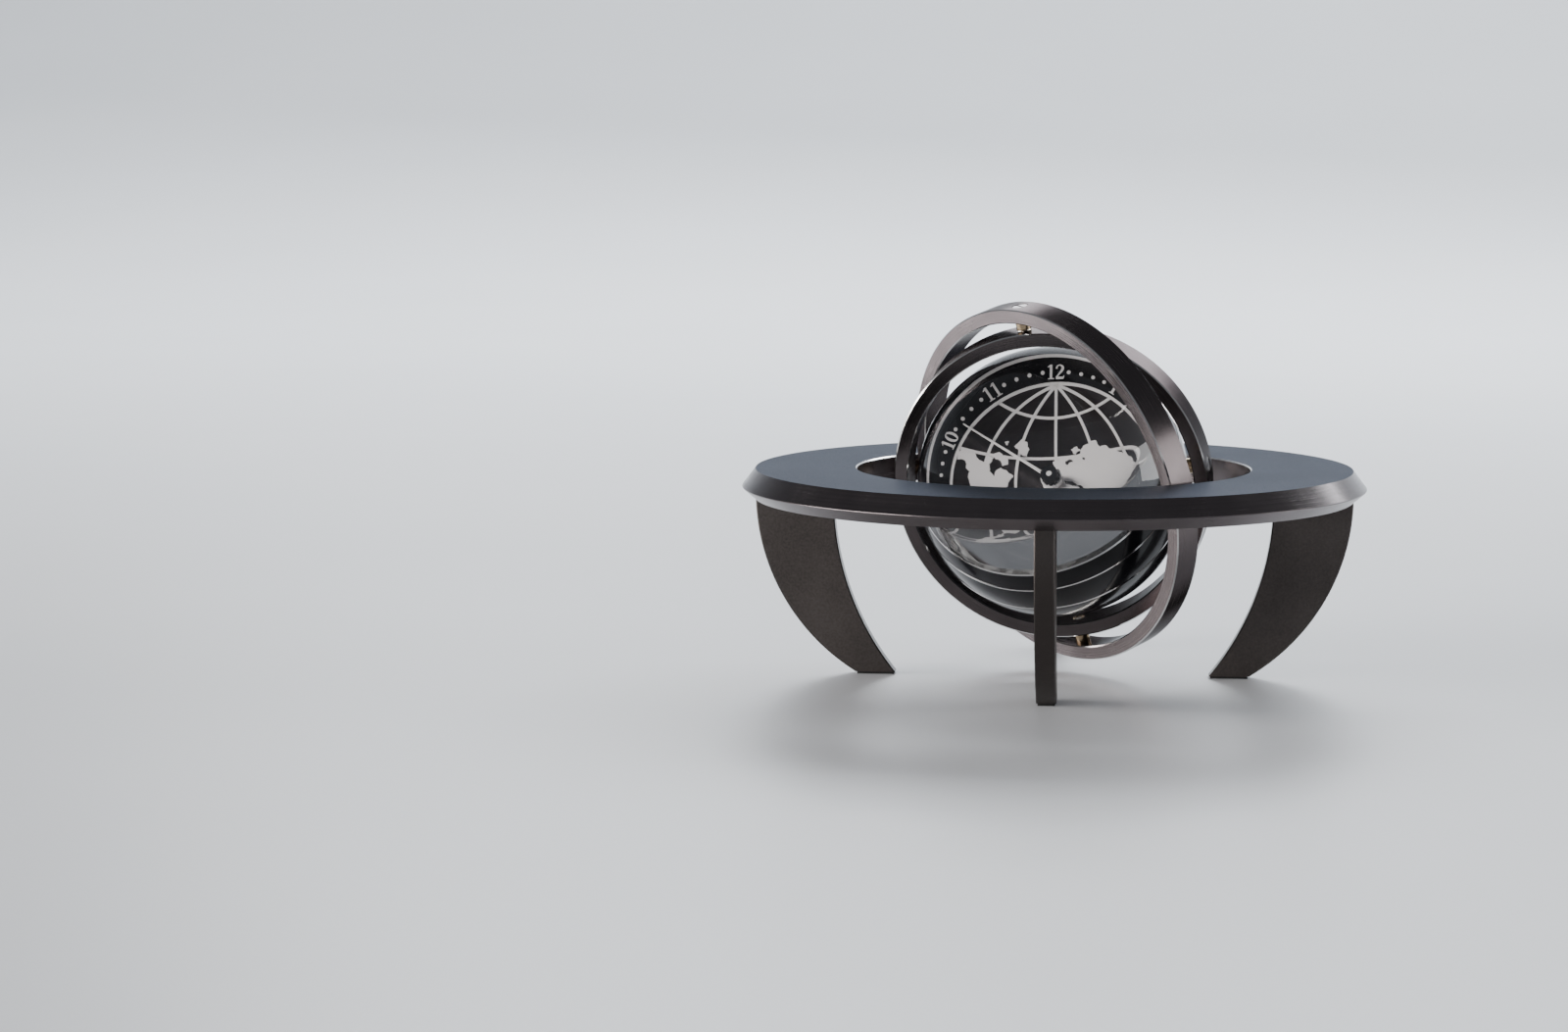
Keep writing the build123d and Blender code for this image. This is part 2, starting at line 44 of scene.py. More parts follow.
# ---------------------------------------------------------------- axes, read from the joints
joints = {joint["name"]: joint for joint in frame["joints"]}
CENTRE = Vector(joints["ball_turn"]["pos_m"])
HINGE = Vector(joints["outer_gimbal_turn"]["axis"])        # table ring to outer gimbal
OUTER_LINE = Vector(joints["inner_gimbal_turn"]["axis"])   # outer to inner gimbal
DIAL_RIGHT = Vector(joints["ball_turn"]["axis"])           # inner gimbal to ball
DIAL_OUT = -Vector(joints["minute_turn"]["axis"])
DIAL_UP = DIAL_OUT.cross(DIAL_RIGHT)
OUTER_NORMAL = HINGE.cross(OUTER_LINE)
INNER_NORMAL = DIAL_RIGHT.cross(OUTER_LINE)
UP = Vector((0, 0, 1))


def height_on_ball(node):
    """Highest point of a node along the ball's axis, in millimetres from the ball's centre."""
    return max((vertex.co - CENTRE).dot(DIAL_OUT) for vertex in nodes[node].data.vertices) / MM


PLATE_TOP = height_on_ball("dial_plate")
CHAPTER_TOP = height_on_ball("chapter_ring")


# ---------------------------------------------------------------- node helpers
TURNED_R = 40               # usual radius of the turned parts, in millimetres: sets how long a mark looks
FACE_TO_RIM = 1.618         # keeps the marks of a flat face and of the rim beside it from lining up


class Shader:
    """One node material, built with short calls that return output sockets."""

    def __init__(self, name):
        self.material = bpy.data.materials.new(name)
        self.material.use_nodes = True
        self.tree = self.material.node_tree
        self.tree.nodes.clear()
        self.here = self.add("ShaderNodeTexCoord").outputs["Object"]

    def add(self, kind, inputs=None, **settings):
        """A node with its settings made and its inputs filled or linked."""
        node = self.tree.nodes.new(kind)
        for key, value in settings.items():
            setattr(node, key, value)
        for key, value in (inputs or {}).items():
            if isinstance(value, bpy.types.NodeSocket):
                self.tree.links.new(value, node.inputs[key])
            else:
                node.inputs[key].default_value = value
        return node

    def math(self, operation, a, b=0.0):
        return self.add("ShaderNodeMath", {0: a, 1: b}, operation=operation).outputs[0]

    def vector(self, operation, a, b=(0, 0, 0)):
        node = self.add("ShaderNodeVectorMath", {0: a, 1: b}, operation=operation)
        return node.outputs["Value" if operation in ("DOT_PRODUCT", "LENGTH") else "Vector"]

    def scaled(self, vector, factor):
        node = self.add("ShaderNodeVectorMath", {0: vector, "Scale": factor}, operation="SCALE")
        return node.outputs["Vector"]

    def noise(self, size, detail=2.0, contrast=0.5):
        """Soft random pattern whose features are about size millimetres across."""
        inputs = {"Vector": self.here, "Scale": 1 / (size * MM), "Detail": detail, "Roughness": contrast}
        return self.add("ShaderNodeTexNoise", inputs).outputs["Fac"]

    def lines(self, axis, pitch, length):
        """Fine tool marks that run round an axis: pitch apart and about length long, in millimetres."""
        offset = self.vector("SUBTRACT", self.here, CENTRE)
        along = self.vector("DOT_PRODUCT", offset, axis)
        flat = self.vector("SUBTRACT", offset, self.scaled(axis, along))
        radius = self.vector("LENGTH", flat)
        around = self.vector("NORMALIZE", flat)
        across = self.math("ADD", radius, self.math("MULTIPLY", along, FACE_TO_RIM))
        inputs = {
            "Vector": self.scaled(around, TURNED_R / length),
            "W": self.math("MULTIPLY", across, 1 / (pitch * MM)),
            "Scale": 1.0,
            "Detail": 3.0,
            "Roughness": 0.65,
        }
        return self.add("ShaderNodeTexNoise", inputs, noise_dimensions="4D").outputs["Fac"]

    def remap(self, value, low, high, start=0.25, end=0.75):
        """The value's range start..end spread over low..high."""
        inputs = {"Value": value, 1: start, 2: end, 3: low, 4: high}
        return self.add("ShaderNodeMapRange", inputs).outputs["Result"]

    def between(self, amount, first, second):
        """Colour mixed from first to second by amount."""
        node = self.add("ShaderNodeMix", data_type="RGBA")
        for key, value in (("Factor", amount), ("A", first), ("B", second)):
            socket = next(s for s in node.inputs if s.name == key and s.enabled)
            if isinstance(value, bpy.types.NodeSocket):
                self.tree.links.new(value, socket)
            else:
                socket.default_value = value if isinstance(value, float) else (*value, 1.0)
        return next(s for s in node.outputs if s.enabled)

    def bump(self, height, depth):
        """Surface relief: depth in millimetres for the whole range of height."""
        inputs = {"Height": height, "Distance": depth * MM, "Strength": 1.0}
        return self.add("ShaderNodeBump", inputs).outputs["Normal"]

    def principled(self, inputs):
        return self.add("ShaderNodeBsdfPrincipled", inputs).outputs["BSDF"]

    def done(self, surface):
        self.add("ShaderNodeOutputMaterial", {"Surface": surface})
        return self.material


def tinted(colour, factor):
    return tuple(channel * factor for channel in colour)


FINE_SHARE = 0.55           # how much of the colour's variation follows the fine marks


def worn_colour(shader, colour, fine, patch_size=14.0, spread=0.18):
    """Base colour with fine variation from the tool marks and broad patches of handling."""
    patches = shader.noise(patch_size, detail=4.0)
    by_marks = shader.remap(fine, 0.0, FINE_SHARE)
    shade = shader.math("ADD", by_marks, shader.remap(patches, 0.0, 1 - FINE_SHARE))
    return shader.between(shade, tinted(colour, 1 - spread), tinted(colour, 1 + spread))


# ---------------------------------------------------------------- metals
def turned_metal(name, colour, roughness, axis, pitch=0.16, length=26.0, depth=0.006, rim=1.0):
    """Metal finished on a lathe, with tool marks round an axis. rim dims it at grazing angles."""
    shader = Shader(name)
    marks = shader.lines(axis, pitch, length)
    smudges = shader.noise(9.0, detail=5.0, contrast=0.6)
    patches = shader.remap(smudges, roughness - 0.03, roughness + 0.05)
    return shader.done(
        shader.principled(
            {
                "Base Color": worn_colour(shader, colour, marks, spread=0.26),
                "Metallic": 1.0,
                "Roughness": shader.math("ADD", shader.remap(marks, -0.05, 0.06), patches),
                "Specular Tint": (rim, rim, rim, 1.0),
                "Normal": shader.bump(marks, depth),
            }
        )
    )


def blasted_metal(name, colour, roughness, grain=0.45, depth=0.03, rim=1.0, spread=0.18):
    """Metal with the even, pitted skin that bead blasting leaves. rim dims it at grazing angles."""
    shader = Shader(name)
    pits = shader.noise(grain, detail=3.0, contrast=0.7)
    sparkle = shader.noise(grain * 0.5, detail=1.0)
    skin = shader.remap(pits, roughness - 0.04, roughness + 0.04)
    return shader.done(
        shader.principled(
            {
                "Base Color": worn_colour(shader, colour, pits, patch_size=22.0, spread=spread),
                "Metallic": 1.0,
                "Roughness": shader.math("ADD", shader.remap(sparkle, -0.07, 0.07), skin),
                "Specular Tint": (rim, rim, rim, 1.0),
                "Normal": shader.bump(pits, depth),
            }
        )
    )


def lacquer(name, colour, roughness, coat=1.0):
    """Sprayed gloss lacquer: slight orange peel under a clear coat."""
    shader = Shader(name)
    peel = shader.noise(1.1, detail=1.0)
    haze = shader.noise(12.0, detail=5.0, contrast=0.6)
    return shader.done(
        shader.principled(
            {
                "Base Color": worn_colour(shader, colour, haze),
                "Roughness": shader.remap(haze, roughness, roughness + 0.08),
                "Specular IOR Level": 0.22,
                "Coat Weight": coat,
                "Coat Roughness": 0.04,
                "Normal": shader.bump(peel, 0.004),
            }
        )
    )


def satin_paint(name, colour, roughness, grain=0.12, depth=0.004, spread=0.18):
    """Matt or satin paint, ink, moulded plastic and rubber."""
    shader = Shader(name)
    skin = shader.noise(grain, detail=2.0)
    haze = shader.remap(shader.noise(6.0, detail=4.0), roughness, roughness + 0.06)
    return shader.done(
        shader.principled(
            {
                "Base Color": worn_colour(shader, colour, skin, patch_size=5.0, spread=spread),
                "Roughness": shader.math("ADD", shader.remap(skin, 0.0, 0.05), haze),
                "Normal": shader.bump(skin, depth),
            }
        )
    )


def dome_glass(name):
    """Clear solid glass with the faint haze of handling; lamps reach the dial through it."""
    shader = Shader(name)
    haze = shader.noise(7.0, detail=6.0, contrast=0.62)
    glass = shader.principled(
        {
            "Base Color": (0.985, 0.99, 1.0, 1.0),
            "Roughness": shader.remap(haze, 0.0, 0.012, 0.45, 0.8),
            "IOR": 1.5,
            "Transmission Weight": 1.0,
        }
    )
    to_lamp = shader.add("ShaderNodeLightPath").outputs["Is Shadow Ray"]
    clear = shader.add("ShaderNodeBsdfTransparent").outputs[0]
    return shader.done(shader.add("ShaderNodeMixShader", {0: to_lamp, 1: glass, 2: clear}).outputs[0])


GUNMETAL = (0.150, 0.130, 0.132)
STEEL = (0.064, 0.070, 0.086)
BRIGHT = (0.82, 0.81, 0.80)
TAUPE = (0.112, 0.098, 0.092)
PIN_STEEL = (0.26, 0.24, 0.24)
PIN_BRASS = (0.44, 0.34, 0.22)
DIAL_GREY = (0.115, 0.100, 0.105)
SHELL_BLACK = (0.006, 0.006, 0.008)
DIAL_BLACK = (0.007, 0.007, 0.009)
INK = (0.95, 0.915, 0.905)
PALE_RUBBER = (0.72, 0.72, 0.72)
BLACK_RUBBER = (0.018, 0.018, 0.018)
BLACK_PLASTIC = (0.035, 0.035, 0.038)
# Near-white paint for the silver hands: a painted sheen in place of the metal's reflection.
HAND_SHEEN_WHITE = (0.92, 0.90, 0.89)

# Tool marks of the small turned parts: how far apart, how long and how deep, in millimetres
FINE_CUT = {"pitch": 0.08, "length": 12.0, "depth": 0.002}
SMALL_CUT = {"pitch": 0.1, "length": 8.0, "depth": 0.003}
DIAL_CUT = {"pitch": 0.12, "length": 9.0, "depth": 0.003}

ring_blasted = blasted_metal("ring_blasted", STEEL, 0.40, grain=0.35, depth=0.012, rim=0.38, spread=0.25)
ring_brushed = turned_metal("ring_brushed", GUNMETAL, 0.22, UP, length=60.0)
ring_edge = turned_metal("ring_edge", BRIGHT, 0.16, UP)
leg_blasted = blasted_metal("leg_blasted", TAUPE, 0.48, grain=0.6, rim=0.6, spread=0.42)
leg_edge = blasted_metal("leg_edge", tinted(TAUPE, 0.62), 0.32, grain=0.2, depth=0.004)
# Gimbal ring faces are lit and shaded copies of one gunmetal. The outer ring's flat sides are 1.8 times
# lighter, a painted highlight, and the round bands of both rings are darker, painted shade.
outer_brushed_painted_highlight = turned_metal("outer_brushed_painted_highlight", tinted(GUNMETAL, 1.8), 0.24, OUTER_NORMAL)
outer_band_painted_shade = turned_metal("outer_band_painted_shade", tinted(GUNMETAL, 0.75), 0.22, OUTER_NORMAL, rim=0.4)
outer_edge = turned_metal("outer_edge", BRIGHT, 0.14, OUTER_NORMAL)
inner_brushed = turned_metal("inner_brushed", tinted(GUNMETAL, 0.85), 0.22, INNER_NORMAL)
inner_band_painted_shade = turned_metal("inner_band_painted_shade", tinted(GUNMETAL, 0.65), 0.22, INNER_NORMAL, rim=0.4)
inner_edge = turned_metal("inner_edge", BRIGHT, 0.14, INNER_NORMAL)
bright_turned = turned_metal("bright_turned", BRIGHT, 0.12, DIAL_OUT, **FINE_CUT)
seat_turned = turned_metal("seat_turned", GUNMETAL, 0.16, DIAL_OUT, **FINE_CUT)
pin_steel = turned_metal("pin_steel", PIN_STEEL, 0.28, UP, **SMALL_CUT, rim=0.6)
pin_brass = turned_metal("pin_brass", PIN_BRASS, 0.24, UP, **SMALL_CUT)
black_gloss = lacquer("black_gloss", SHELL_BLACK, 0.14, coat=0.2)
dial_black = lacquer("dial_black", DIAL_BLACK, 0.30, coat=0.0)
dial_grey = turned_metal("dial_grey", DIAL_GREY, 0.33, DIAL_OUT, **DIAL_CUT)
dial_print = satin_paint("dial_print", INK, 0.38, spread=0.06)
gasket_pale = satin_paint("gasket_pale", PALE_RUBBER, 0.40, spread=0.06)
rubber = satin_paint("rubber", BLACK_RUBBER, 0.72, grain=0.3, depth=0.02)
moulded = satin_paint("moulded", BLACK_PLASTIC, 0.45, grain=0.35, depth=0.012)
# The silver hands and the steel minute arbor are drawn as near-white satin paint. This is a painted sheen
# in place of the metal's reflection, and a painted highlight on the arbor's tip.
hand_silver = satin_paint("hand_silver", HAND_SHEEN_WHITE, 0.24, grain=0.08, depth=0.001, spread=0.06)
glass = dome_glass("glass")


def paint(node, *materials):
    """Gives a CAD node its material, or several that paint_faces then places."""
    nodes[node].data.materials.clear()
    for material in materials:
        nodes[node].data.materials.append(material)


def paint_faces(node, choose, *materials):
    """Gives a CAD node several materials; choose(normal, middle) gives the number of each face's."""
    paint(node, *materials)
    for face in nodes[node].data.polygons:
        face.material_index = choose(face.normal, face.center - CENTRE)


# How far a face's normal points along an axis, as a cosine
FLAT = 0.9                  # above this the face is flat to the axis
EDGE = 0.4                  # above this a face of the table ring's hole is one of its broken edges
ROUND = 0.25                # below this the face runs round the axis


def gimbal_face(axis):
    """0 the flat sides of a gimbal ring, 1 the narrow chamfers, 2 the round faces."""

    def choose(normal, _):
        slope = abs(normal.dot(axis))
        return 0 if slope > FLAT else 1 if slope > ROUND else 2

    return choose


def table_ring_face(normal, middle):
    """0 blasted top and underside, 1 brushed chamfers and bore, 2 the small broken edges."""
    if abs(normal.z) > FLAT:
        return 0
    inwards = normal.x * middle.x + normal.y * middle.y < 0
    return 2 if inwards and abs(normal.z) > EDGE else 1


def leg_face(across):
    """0 blasted broad faces, 1 the polished rim round them."""

    def choose(normal, _):
        return int(abs(normal.dot(across)) < FLAT)

    return choose


SEAT_WALL_R = (31.0, 31.8)  # the bore that the glass sits in lies between these, in millimetres


def shell_face(normal, middle):
    """0 lacquered outside, 1 the turned wall that the glass and the dial sit in."""
    from_axis = (middle - DIAL_OUT * middle.dot(DIAL_OUT)).length / MM
    inwards = normal.dot(middle) < 0
    return int(inwards and SEAT_WALL_R[0] < from_axis < SEAT_WALL_R[1])


paint_faces("rear_shell", shell_face, black_gloss, seat_turned)
paint_faces("table_ring", table_ring_face, ring_blasted, ring_brushed, ring_edge)
for leg, across in (
    ("leg_front", Vector((1, 0, 0))),
    ("leg_back", Vector((1, 0, 0))),
    ("leg_left", Vector((0, 1, 0))),
    ("leg_right", Vector((0, 1, 0))),
):
    paint_faces(leg, leg_face(across), leg_blasted, leg_edge)
# The outer ring's flat sides carry a painted highlight and the round bands of both rings carry painted
# shade.
paint_faces("outer_gimbal_ring", gimbal_face(OUTER_NORMAL), outer_brushed_painted_highlight, outer_edge, outer_band_painted_shade)
paint_faces("inner_gimbal_ring", gimbal_face(INNER_NORMAL), inner_brushed, inner_edge, inner_band_painted_shade)

FINISHES = {
    pin_steel: (
        "leg_studs", "ring_pivot_pins", "outer_pivot_screws", "inner_pivot_screws",
        "movement_screws", "battery",
    ),
    pin_brass: (
        "outer_ring_bushes", "inner_ring_bushes", "ball_bushes", "ring_pivot_collars",
        "outer_pivot_collars", "inner_pivot_collars", "hour_pipe",
    ),
    black_gloss: ("rear_cap", "hand_nut"),
    bright_turned: ("shell_inlays", "bezel_ring"),
    dial_black: ("dial_surround", "chapter_ring"),
    dial_grey: ("dial_plate",),
    rubber: ("foot_pads",),
    gasket_pale: ("glass_gasket",),
    moulded: ("movement_holder", "movement_case", "setting_wheel"),
    # near-white paint: painted sheen on the hands, painted highlight on the arbor's tip
    hand_silver: ("hour_hand", "minute_hand", "minute_arbor"),
    glass: ("glass_dome",),
}
for finish, names in FINISHES.items():
    for name in names:
        paint(name, finish)


# ---------------------------------------------------------------- dial print
# Sizes in millimetres, places in dial millimetres from the dial's middle.
PRINT_THICKNESS = 0.05
LAND_THICKNESS = 0.065      # the land is printed over the graticule
SEA_THICKNESS = 0.08        # and the inland seas over the land
LINE_WIDTH = 0.46
CIRCLE_WIDTH = 0.50
NUMERAL_R = 19.2
NUMERAL_HEIGHT = 2.15
NUMERAL_STRETCH = 1.22      # how much wider than high the unit box of the numerals is drawn
PEN_STRETCH = 1.18          # and how much bolder than the box alone would make the pen
DOT_R = 0.30
HOURS = 12
MINUTES = 60
OUTER_CIRCLE_R = 21.66
GLOBE_R = 17.5
POLE = 17.3                 # how far up and down the meridians meet
MERIDIANS = (6.8, 12.3)                                    # where they cross the equator
PARALLELS = ((12.1, 8.8, 15.1), (5.3, 15.4, 8.5))          # height at the middle, end x, end y


def on_dial(x, y, height):
    """Point of the frame for a place on the dial, in dial millimetres."""
    return CENTRE + (DIAL_RIGHT * x + DIAL_UP * y + DIAL_OUT * height) * MM


def printed(name, loops, base, material=dial_print, thickness=PRINT_THICKNESS):
    """Flat pieces with thickness, one for each closed loop of dial points, as one mesh on the ball."""
    points, faces = [], []
    for loop in loops:
        first, count = len(points), len(loop)
        points += [on_dial(x, y, base) for x, y in loop]
        points += [on_dial(x, y, base + thickness) for x, y in loop]
        area = sum(a[0] * b[1] - b[0] * a[1] for a, b in zip(loop, loop[1:] + loop[:1]))
        ring = list(range(count)) if area > 0 else list(reversed(range(count)))
        faces.append([first + count + i for i in ring])
        faces.append([first + i for i in reversed(ring)])
        for here, there in zip(ring, ring[1:] + ring[:1]):
            faces.append([first + here, first + there, first + count + there, first + count + here])
    mesh = bpy.data.meshes.new(name)
    mesh.from_pydata(points, [], faces)
    mesh.materials.append(material)
    piece = bpy.data.objects.new(name, mesh)
    bpy.context.scene.collection.objects.link(piece)
    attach(piece, "clock_ball")
    return piece


def stroke(points, widths):
    """Closed loop round a line of dial points, with a width at each."""
    left, right = [], []
    for i, (x, y) in enumerate(points):
        before, after = points[max(i - 1, 0)], points[min(i + 1, len(points) - 1)]
        run = Vector((after[0] - before[0], after[1] - before[1])).normalized() * widths[i] / 2
        left.append((x - run.y, y + run.x))
        right.append((x + run.y, y - run.x))
    return left + right[::-1]


IN_LINE = 1e-6              # three points whose triangle is smaller than this lie on one straight line


def arc_line(start, middle, end, steps=48):
    """Points on the circle through three dial points, from start to end."""
    (ax, ay), (bx, by), (cx, cy) = start, middle, end
    double = 2 * (ax * (by - cy) + bx * (cy - ay) + cx * (ay - by))
    if abs(double) < IN_LINE:
        return [(ax + (cx - ax) * i / steps, ay + (cy - ay) * i / steps) for i in range(steps + 1)]
    a2, b2, c2 = ax * ax + ay * ay, bx * bx + by * by, cx * cx + cy * cy
    x0 = (a2 * (by - cy) + b2 * (cy - ay) + c2 * (ay - by)) / double
    y0 = (a2 * (cx - bx) + b2 * (ax - cx) + c2 * (bx - ax)) / double
    radius = math.hypot(ax - x0, ay - y0)
    first, last = math.atan2(ay - y0, ax - x0), math.atan2(cy - y0, cx - x0)
    sweep = (last - first + math.pi) % (2 * math.pi) - math.pi
    turns = [first + sweep * i / steps for i in range(steps + 1)]
    return [(x0 + radius * math.cos(turn), y0 + radius * math.sin(turn)) for turn in turns]


def even(points, width=LINE_WIDTH):
    return stroke(points, [width] * len(points))


def circle_line(radius, width=LINE_WIDTH, parts=4):
    """A printed circle, as a few arcs that meet end to end."""
    loops = []
    for part in range(parts):
        a, b = (2 * math.pi * (part + end) / parts for end in (0, 1))
        ends = [(radius * math.cos(t), radius * math.sin(t)) for t in (a, (a + b) / 2, b)]
        loops.append(even(arc_line(*ends), width))
    return loops


def disc(x, y, radius, sides=20):
    turns = [2 * math.pi * i / sides for i in range(sides)]
    return [(x + radius * math.cos(turn), y + radius * math.sin(turn)) for turn in turns]


# Numerals, each with its width and its strokes in a box one unit high. A stroke is a list of
# (x, y, pen width); strokes of more than two points are drawn as smooth curves.
FOOT = 0.06                 # thickness of the short line that a digit stands on
BOWL_6 = [
    (0.46, 0.95, 0.05), (0.24, 0.82, 0.10), (0.11, 0.55, 0.14), (0.10, 0.28, 0.15), (0.19, 0.08, 0.11),
    (0.30, 0.03, 0.07), (0.43, 0.12, 0.12), (0.46, 0.30, 0.15), (0.41, 0.50, 0.12), (0.28, 0.58, 0.07),
    (0.15, 0.50, 0.06),
]
NUMERALS = {
    "0": (
        0.56,
        [[(0.28 + 0.20 * math.sin(t), 0.5 + 0.46 * math.cos(t), 0.06 + 0.10 * abs(math.sin(t)))
          for t in [math.pi * k / 6 for k in range(13)]]],
    ),
    "1": (0.50, [[(0.26, 0.03, 0.15), (0.26, 1.0, 0.15)],
                 [(0.08, FOOT / 2, FOOT), (0.44, FOOT / 2, FOOT)],
                 [(0.07, 0.83, 0.05), (0.26, 0.96, 0.08)]]),
    "2": (0.58, [[(0.08, 0.72, 0.13), (0.13, 0.90, 0.07), (0.28, 0.97, 0.07), (0.44, 0.84, 0.14),
                  (0.42, 0.64, 0.15), (0.26, 0.38, 0.10), (0.06, 0.12, 0.06)],
                 [(0.05, 0.07, 0.14), (0.50, 0.07, 0.14)], [(0.49, 0.04, 0.05), (0.53, 0.24, 0.05)]]),
    "3": (0.55, [[(0.08, 0.78, 0.11), (0.15, 0.92, 0.07), (0.27, 0.97, 0.07), (0.41, 0.86, 0.13),
                  (0.38, 0.66, 0.11), (0.20, 0.53, 0.06)],
                 [(0.20, 0.53, 0.06), (0.40, 0.46, 0.12), (0.45, 0.26, 0.15), (0.34, 0.08, 0.10),
                  (0.19, 0.03, 0.07), (0.06, 0.12, 0.12)]]),
    "4": (0.58, [[(0.38, 1.0, 0.06), (0.04, 0.28, 0.06)], [(0.02, 0.28, 0.09), (0.54, 0.28, 0.09)],
                 [(0.38, 0.03, 0.15), (0.38, 1.0, 0.15)],
                 [(0.25, FOOT / 2, FOOT), (0.51, FOOT / 2, FOOT)]]),
    "5": (0.55, [[(0.14, 0.93, 0.13), (0.47, 0.93, 0.13)], [(0.16, 0.97, 0.06), (0.11, 0.54, 0.06)],
                 [(0.11, 0.54, 0.06), (0.28, 0.60, 0.09), (0.44, 0.48, 0.14), (0.45, 0.25, 0.15),
                  (0.32, 0.07, 0.10), (0.18, 0.03, 0.07), (0.05, 0.11, 0.12)]]),
    "6": (0.56, [BOWL_6]),
    "7": (0.54, [[(0.05, 0.92, 0.14), (0.50, 0.92, 0.14)], [(0.06, 0.96, 0.05), (0.04, 0.74, 0.05)],
                 [(0.49, 0.94, 0.10), (0.22, 0.0, 0.14)]]),
    "8": (0.55, [[(0.275 + sx * math.sin(t), y + sy * math.cos(t), 0.07 + 0.07 * abs(math.sin(t)))
                  for t in [math.pi * k / 6 for k in range(13)]]
                 for sx, y, sy in ((0.15, 0.76, 0.20), (0.19, 0.29, 0.25))]),
    "9": (0.56, [[(0.56 - x, 1.0 - y, width) for x, y, width in BOWL_6]]),
}


def spline_value(p, q, r, s, t):
    """Catmull-Rom spline through q and r, with p and s before and after them, t of the way on."""
    bend = 2 * p - 5 * q + 4 * r - s
    twist = 3 * q - p - 3 * r + s
    return (2 * q + (r - p) * t + bend * t**2 + twist * t**3) / 2


def smooth(points, steps=5):
    """A stroke's points joined by a smooth curve, pen width included."""
    if len(points) < 3:
        return points
    ends = [points[0]] + points + [points[-1]]
    curve = []
    for four in zip(ends, ends[1:], ends[2:], ends[3:]):
        for i in range(steps):
            curve.append(tuple(spline_value(*values, i / steps) for values in zip(*four)))
    return curve + [points[-1]]


def turned(x, y, angle):
    """A dial point turned counter-clockwise about the dial's middle."""
    return (x * math.cos(angle) - y * math.sin(angle), x * math.sin(angle) + y * math.cos(angle))


def numeral_loops(hour):
    """The strokes of one hour's numeral, set round the dial with its top outwards."""
    text = str(hour)
    width = sum(NUMERALS[digit][0] for digit in text)
    angle = -2 * math.pi * hour / HOURS
    loops, left = [], -width / 2
    for digit in text:
        advance, strokes = NUMERALS[digit]
        for points in strokes:
            placed, widths = [], []
            for x, y, pen in smooth(points):
                across = (left + x) * NUMERAL_HEIGHT * NUMERAL_STRETCH
                up = (y - 0.5) * NUMERAL_HEIGHT + NUMERAL_R
                placed.append(turned(across, up, angle))
                widths.append(pen * NUMERAL_HEIGHT * PEN_STRETCH)
            loops.append(stroke(placed, widths))
        left += advance
    return loops


def hour_ring():
    """Numerals, minute dots and the circle round them."""
    numerals = [loop for hour in range(1, HOURS + 1) for loop in numeral_loops(hour)]
    dots = []
    for minute in range(MINUTES):
        if minute % (MINUTES // HOURS):
            angle = 2 * math.pi * minute / MINUTES
            dots.append(disc(NUMERAL_R * math.sin(angle), NUMERAL_R * math.cos(angle), DOT_R))
    printed("dial_numerals", numerals, CHAPTER_TOP)
    printed("dial_minute_dots", dots, CHAPTER_TOP)
    printed("dial_outer_circle", circle_line(OUTER_CIRCLE_R, CIRCLE_WIDTH), CHAPTER_TOP)


def graticule():
    """The globe's outline, meridians and parallels."""
    lines = [even([(0, -POLE), (0, POLE)]), even([(-GLOBE_R, 0), (GLOBE_R, 0)])]
    for side in (-1, 1):
        for crossing in MERIDIANS:
            lines.append(even(arc_line((0, POLE), (side * crossing, 0), (0, -POLE))))
        for middle, end_x, end_y in PARALLELS:
            ends = ((-end_x, side * end_y), (0, side * middle), (end_x, side * end_y))
            lines.append(even(arc_line(*ends)))
    printed("dial_globe_circle", circle_line(GLOBE_R, CIRCLE_WIDTH), PLATE_TOP)
    printed("dial_graticule", lines, PLATE_TOP)
